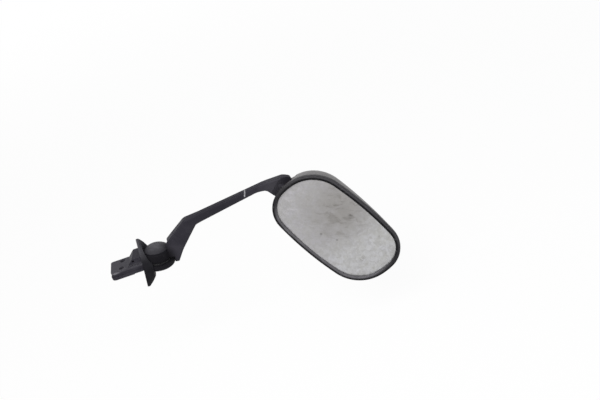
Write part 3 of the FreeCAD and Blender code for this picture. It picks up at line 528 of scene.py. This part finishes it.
def bezel_plastic(name):
    """Satin black plastic with scuffs, with painted light where it faces one way across the head and painted
    shade where it faces away.
    """
    finish = Finish(name)
    patchy = finish.spread(finish.noise(grain=0.014, detail=5.0, warp=0.6), low=0.36, high=0.68)
    scuff = finish.spread(finish.noise(grain=0.003, detail=6.0), low=0.60, high=0.74)
    # painted light and shade by which way the bezel faces
    light_facing = finish.along(finish.facing, LIGHT_WAY)
    low_side = finish.past(GLASS_MIDDLE, LIGHT_WAY, start=-0.012, end=0.006, first=1.0, last=0.3)
    # painted light, patchy, stronger on the lower side of the bezel (this mask is painted light, not dust)
    dust = finish.both(
        finish.spread(light_facing, low=0.04, high=0.48),
        finish.both(low_side, finish.between(patchy, first=0.7, last=1.0)),
    )
    # painted shade where the bezel faces away, then real scuffs over it
    worn = finish.mix(finish.spread(light_facing, low=-0.22, high=0.10), BEZEL_SHADE, BEZEL)
    worn = finish.mix(scuff, worn, BEZEL_SCUFFED)
    finish.set(
        Base_Color=finish.mix(dust, worn, BEZEL_LIT),
        Roughness=finish.between(patchy, first=0.40, last=0.58),
        Specular_IOR_Level=0.06,
    )
    finish.relief(finish.noise(grain=0.0008, detail=2.0), height=0.00006)
    return finish


FINISHES = {
    coated_casting: ("base_casting",),
    chalked_casting: ("arm",),
    gasket_rubber: ("fairing_gasket",),
    cap_plastic: ("pivot_cap",),
    plated_steel: (
        "pivot_bolt", "thrust_washer", "disc_spring", "pivot_nut", "ball_stud", "stud_pin",
        "clamp_plate", "clamp_screws", "spring_washers", "bracket_screws",
    ),
    nylon: ("front_seat", "rear_seat"),
    moulded_plastic: ("socket_bracket", "friction_washer"),
    housing_paint: ("mirror_housing",),
    pad_foam: ("glass_pad",),
    dirty_mirror: ("mirror_glass",),
    bezel_plastic: ("mirror_bezel",),
}


def dress_nodes():
    """Gives every solid its finish."""
    for make, nodes in FINISHES.items():
        finish = make(make.__name__)
        for node in nodes:
            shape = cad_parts[node]
            shape.data.materials.clear()
            shape.data.materials.append(finish.material)


def add_glass():
    """The glass sheet again, without the empty facet at its middle, so that it shades smoothly."""
    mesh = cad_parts["mirror_glass"].data.copy()
    stored = mesh.attributes.get("custom_normal")
    if stored is not None:
        mesh.attributes.remove(stored)
    facets = bmesh.new()
    facets.from_mesh(mesh)
    bmesh.ops.dissolve_degenerate(facets, dist=EMPTY_EDGE, edges=facets.edges)
    facets.to_mesh(mesh)
    facets.free()
    sheet = bpy.data.objects.new("glass_sheet", mesh)
    bpy.context.collection.objects.link(sheet)
    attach(sheet, "head")
    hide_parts("mirror_glass")


def floor_material():
    """Pale, nearly white with a faint shadow near the object, and white farther off."""
    material = bpy.data.materials.new("floor")
    material.use_nodes = True
    material.node_tree.nodes.clear()
    nodes = Nodes(material.node_tree)
    lit = nodes.add("ShaderNodeBsdfDiffuse")
    lit.inputs["Color"].default_value = FLOOR_COLOUR
    glow = nodes.add("ShaderNodeEmission")
    glow.inputs["Color"].default_value = WHITE
    own = nodes.add("ShaderNodeTexCoord")
    reach = nodes.add("ShaderNodeVectorMath", operation="LENGTH")
    nodes.give(reach.inputs[0], own.outputs["Object"])
    white = nodes.spread(reach.outputs["Value"], FLOOR_FADE_START, FLOOR_FADE_END, first=FLOOR_WHITE_SHARE)
    blend = nodes.add("ShaderNodeMixShader")
    nodes.give(blend.inputs["Fac"], nodes.both(nodes.seen(), white))
    nodes.give(blend.inputs[1], lit.outputs["BSDF"])
    nodes.give(blend.inputs[2], glow.outputs["Emission"])
    output = nodes.add("ShaderNodeOutputMaterial")
    nodes.give(output.inputs["Surface"], blend.outputs["Shader"])
    return material


def add_floor():
    """A wide square floor a little below the object."""
    level = cad_box[0].z - FLOOR_DROP
    turns = ((-1, -1), (1, -1), (1, 1), (-1, 1))
    corners = [(FLOOR_HALF * across, FLOOR_HALF * back, level) for across, back in turns]
    mesh = bpy.data.meshes.new("floor")
    mesh.from_pydata(corners, [], [range(len(corners))])
    mesh.materials.append(floor_material())
    floor = bpy.data.objects.new("floor", mesh)
    bpy.context.collection.objects.link(floor)


def add_world():
    """White where it is seen, and a plain soft light where it lights."""
    world = bpy.data.worlds.new("studio")
    world.use_nodes = True
    nodes = Nodes(world.node_tree)
    background = world.node_tree.nodes["Background"]
    background.inputs["Color"].default_value = WHITE
    nodes.give(background.inputs["Strength"], nodes.between(nodes.seen(), first=WORLD_LIGHT, last=1.0))
    bpy.context.scene.world = world


def add_softbox(name, place, size, power, mirrored=True):
    """A square lamp that faces the object, and shows in its gloss if mirrored."""
    lamp = bpy.data.lights.new(name, "AREA")
    lamp.energy = power
    lamp.size = size
    softbox = bpy.data.objects.new(name, lamp)
    softbox.location = place
    softbox.visible_glossy = mirrored
    softbox.rotation_euler = (LIGHT_TARGET - place).to_track_quat("-Z", "Y").to_euler()
    bpy.context.collection.objects.link(softbox)


def add_camera():
    """The photograph's camera, rolled to lay the arm as it is seen there."""
    lens = bpy.data.cameras.new("camera")
    lens.sensor_width = SENSOR_WIDTH
    lens.lens = SENSOR_WIDTH * FOCAL_PIXELS / PICTURE_WIDTH
    camera = bpy.data.objects.new("camera", lens)
    turn = Matrix.Rotation(math.radians(CAMERA_AZIMUTH), 4, "Z")
    rise = Matrix.Rotation(math.radians(RIGHT_ANGLE - CAMERA_ELEVATION), 4, "X")
    roll = Matrix.Rotation(math.radians(CAMERA_ROLL), 4, "Z")
    camera.matrix_world = Matrix.Translation(CAMERA_PLACE) @ turn @ rise @ roll
    bpy.context.collection.objects.link(camera)
    bpy.context.scene.camera = camera


dress_nodes()
add_glass()
add_floor()
add_world()
add_softbox("key", KEY_PLACE, KEY_SIZE, KEY_POWER)
add_softbox("fill", FILL_PLACE, FILL_SIZE, FILL_POWER)
add_softbox("back", BACK_PLACE, BACK_SIZE, BACK_POWER, mirrored=False)
add_camera()
bpy.context.scene.view_settings.view_transform = "Standard"
